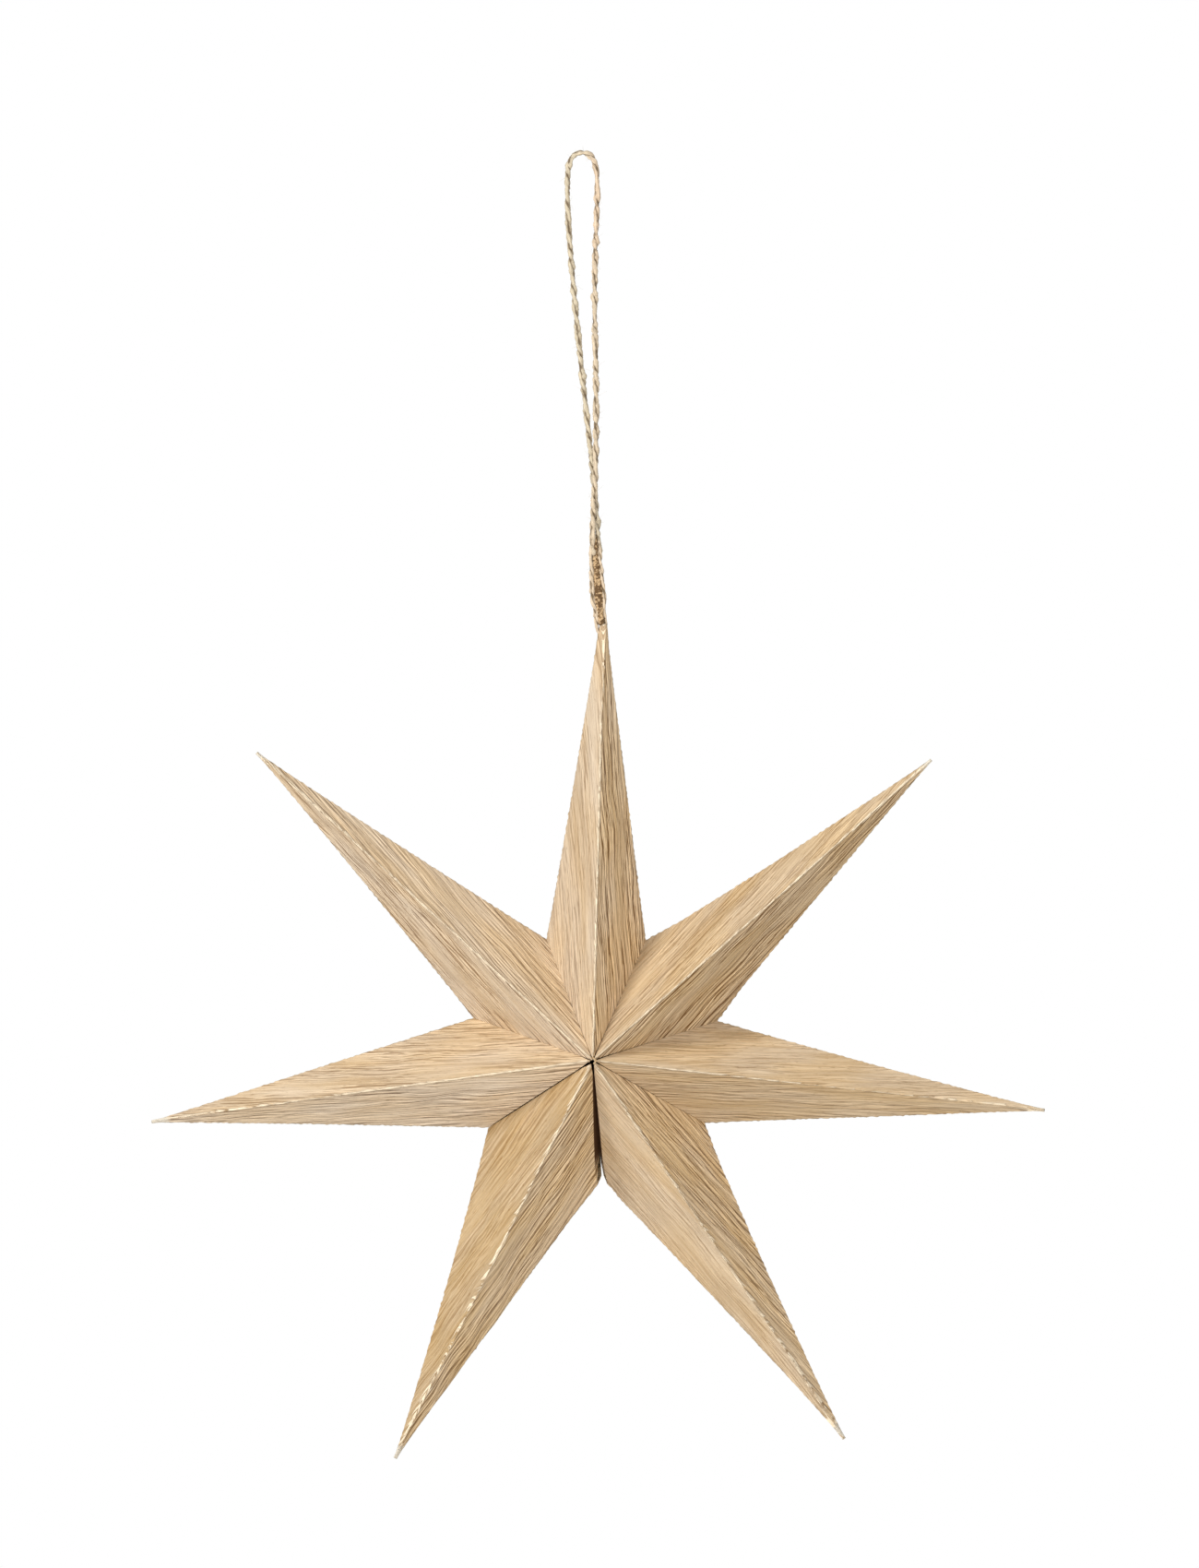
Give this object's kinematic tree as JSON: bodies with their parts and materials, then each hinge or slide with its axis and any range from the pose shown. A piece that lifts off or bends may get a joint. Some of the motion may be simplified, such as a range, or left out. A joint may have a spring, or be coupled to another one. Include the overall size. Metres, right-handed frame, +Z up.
{
  "type": "origami star",
  "caption": "Fold-out star of pointed, folded card sheets with oak veneer faces, hung by its top tip from a knotted loop of thin twine.",
  "frame": {"origin": "inside of the hanging loop's top, where a hook carries the star", "axes": "+Z up, front of the star towards -Y, +X to the right of the front"},
  "size_m": [0.1999, 0.056, 0.2916],
  "materials": {
    "oak_card": "oak veneer on card, matt",
    "magnet": "nickel plated",
    "twine": "two-ply bast fibre twine"
  },
  "bodies": {
    "root": {"point_top": "oak_card", "point_upper_right": "oak_card", "point_right": "oak_card", "point_lower_right": "oak_card", "point_lower_left": "oak_card", "point_left": "oak_card", "point_upper_left": "oak_card", "closure_magnet_left": "magnet", "closure_magnet_right": "magnet", "hanging_cord": "twine", "cord_knot": "twine", "tip_tie": "twine"}
  },
  "joints": []
}
